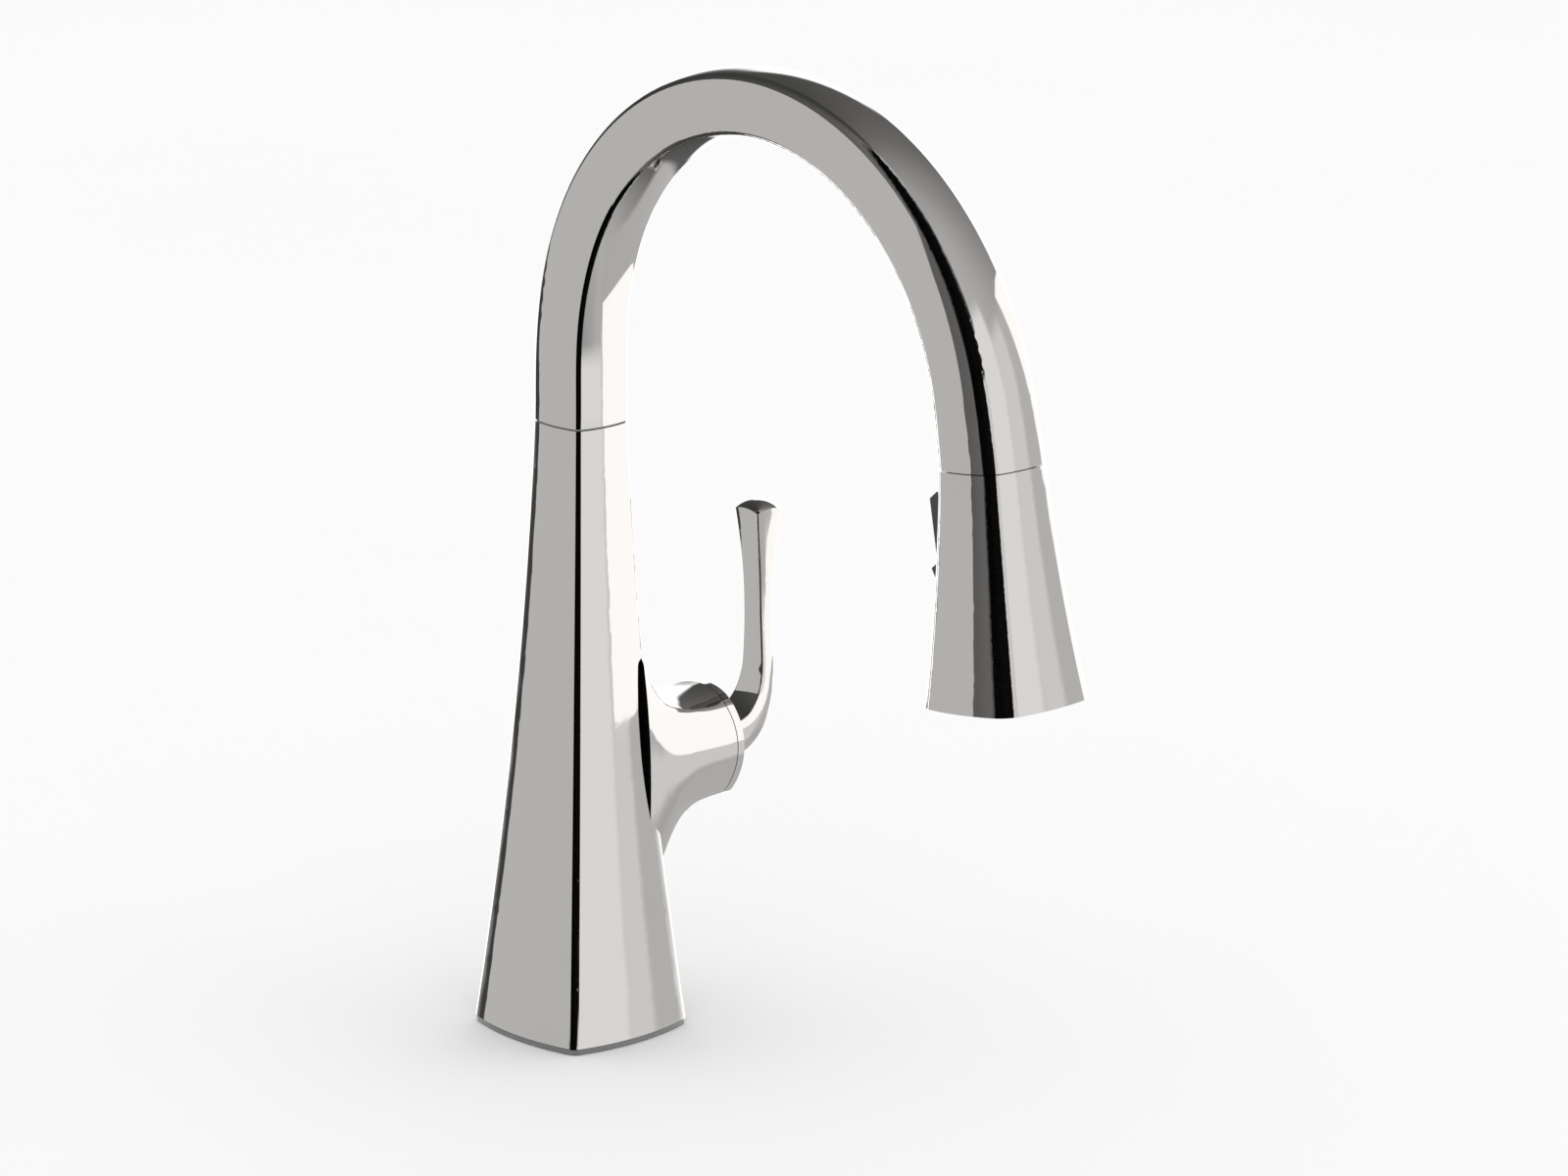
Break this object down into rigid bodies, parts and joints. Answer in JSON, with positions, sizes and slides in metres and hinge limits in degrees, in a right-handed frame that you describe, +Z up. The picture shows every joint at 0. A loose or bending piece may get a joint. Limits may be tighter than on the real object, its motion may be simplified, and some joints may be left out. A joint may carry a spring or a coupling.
{
  "type": "pull down kitchen faucet",
  "caption": "Single-lever pull-down kitchen faucet: flared square body, swivelling arched spout and a docked spray head with a rocker and a push key.",
  "frame": {"origin": "centre of the mounting shank at the underside of the base, on the counter top", "axes": "+Z up, spout toward -Y, handle on +X"},
  "size_m": [0.1471, 0.3155, 0.5254],
  "materials": {
    "polished_metal": "mirror polished, warm nickel tone",
    "ring_metal": "satin",
    "bonnet_metal": "polished",
    "black_rubber": "matte",
    "steel": "brushed",
    "brass": "machined",
    "copper_tube": "drawn",
    "white_plastic": "matte",
    "seam_plastic": "satin",
    "ceramic": "lapped",
    "hose_sleeve": "braided",
    "dark_plastic": "satin",
    "magnet": "nickel plated",
    "nozzle_rubber": "soft"
  },
  "bodies": {
    "base": {"body_shell": "polished_metal", "base_ring": "ring_metal", "base_gasket": "black_rubber", "mounting_shank": "brass", "deck_washer": "black_rubber", "steel_washer": "steel", "mounting_nut": "brass", "nut_screws": "steel", "hot_inlet_tube": "copper_tube", "cold_inlet_tube": "copper_tube", "outlet_tube": "copper_tube", "hot_inlet_nipple": "brass", "cold_inlet_nipple": "brass", "outlet_nipple": "brass", "valve_body": "brass", "cartridge_housing": "white_plastic", "port_seals": "black_rubber", "fixed_ceramic_disc": "ceramic", "cartridge_nut": "brass", "bonnet": "bonnet_metal", "upper_glide_ring": "white_plastic", "lower_glide_ring": "white_plastic", "seam_ring": "seam_plastic"},
    "rotor": {"cartridge_rotor": "white_plastic", "stem_pin": "steel"},
    "disc_slider": {"moving_ceramic_disc": "ceramic", "disc_carrier": "white_plastic"},
    "lever_handle": {"handle": "polished_metal", "valve_stem": "brass", "set_screw": "steel", "set_screw_cap": "dark_plastic"},
    "spout": {"spout_tube": "polished_metal", "swivel_insert": "brass", "swivel_clip": "steel", "hose": "hose_sleeve", "hose_end_ferrule": "steel", "docking_guide": "dark_plastic", "dock_magnet": "magnet"},
    "hose_end": {"hose_run": "hose_sleeve", "hose_crimp": "steel", "hose_swivel_nut": "brass"},
    "spray_head": {"head_shell": "polished_metal", "head_spigot": "dark_plastic", "catch_ring": "steel", "waterway_core": "dark_plastic", "check_valve": "white_plastic", "rocker_pin": "steel", "face_carrier": "dark_plastic", "spray_face": "dark_plastic", "spray_nozzles": "nozzle_rubber", "aerator_housing": "dark_plastic", "aerator_screen": "steel", "button_spring": "steel"},
    "spray_rocker": {"rocker": "dark_plastic"},
    "diverter": {"diverter_spool": "dark_plastic"},
    "boost_key": {"boost_button": "dark_plastic"}
  },
  "joints": [
    {"name": "spout_swivel", "type": "hinge", "parent": "base", "child": "spout", "pos_m": [0, 0, 0.265], "axis": [0, 0, 1], "continuous": true},
    {"name": "temperature_turn", "type": "hinge", "parent": "base", "child": "rotor", "pos_m": [0.043, 0, 0.1138], "axis": [1, 0, 0], "range_deg": [-45, 45]},
    {"name": "handle_lift", "type": "hinge", "parent": "rotor", "child": "lever_handle", "pos_m": [0.043, 0, 0.1138], "axis": [0, 1, 0], "range_deg": [0, 20]},
    {"name": "disc_slide", "type": "slide", "parent": "rotor", "child": "disc_slider", "axis": [0, 0, 1], "range_m": [0, 0.003]},
    {"name": "spray_head_pull", "type": "slide", "parent": "spout", "child": "hose_end", "axis": [0, -0.1149, -0.9934], "range_m": [0, 0.16], "stiffness_N_per_m": 8, "springref_m": -0.7, "deforming": ["hose_run"]},
    {"name": "spray_head_turn", "type": "hinge", "parent": "hose_end", "child": "spray_head", "pos_m": [0, -0.24037, 0.29038], "axis": [0, 0.1149, 0.9934], "continuous": true},
    {"name": "rocker_tilt", "type": "hinge", "parent": "spray_head", "child": "spray_rocker", "pos_m": [0, -0.22998, 0.26704], "axis": [1, 0, 0], "range_deg": [0, 9]},
    {"name": "diverter_slide", "type": "slide", "parent": "spray_head", "child": "diverter", "axis": [0, 0.9934, -0.1149], "range_m": [0, 0.0016]},
    {"name": "boost_press", "type": "slide", "parent": "spray_head", "child": "boost_key", "axis": [0, -0.9934, 0.1149], "range_m": [0, 0.0018], "stiffness_N_per_m": 300, "springref_m": -0.003, "deforming": ["button_spring"]}
  ],
  "couplings": [
    {"joint": "disc_slide", "follows": "handle_lift", "m_per_rad": 0.00823},
    {"joint": "diverter_slide", "follows": "rocker_tilt", "m_per_rad": 0.00896}
  ]
}
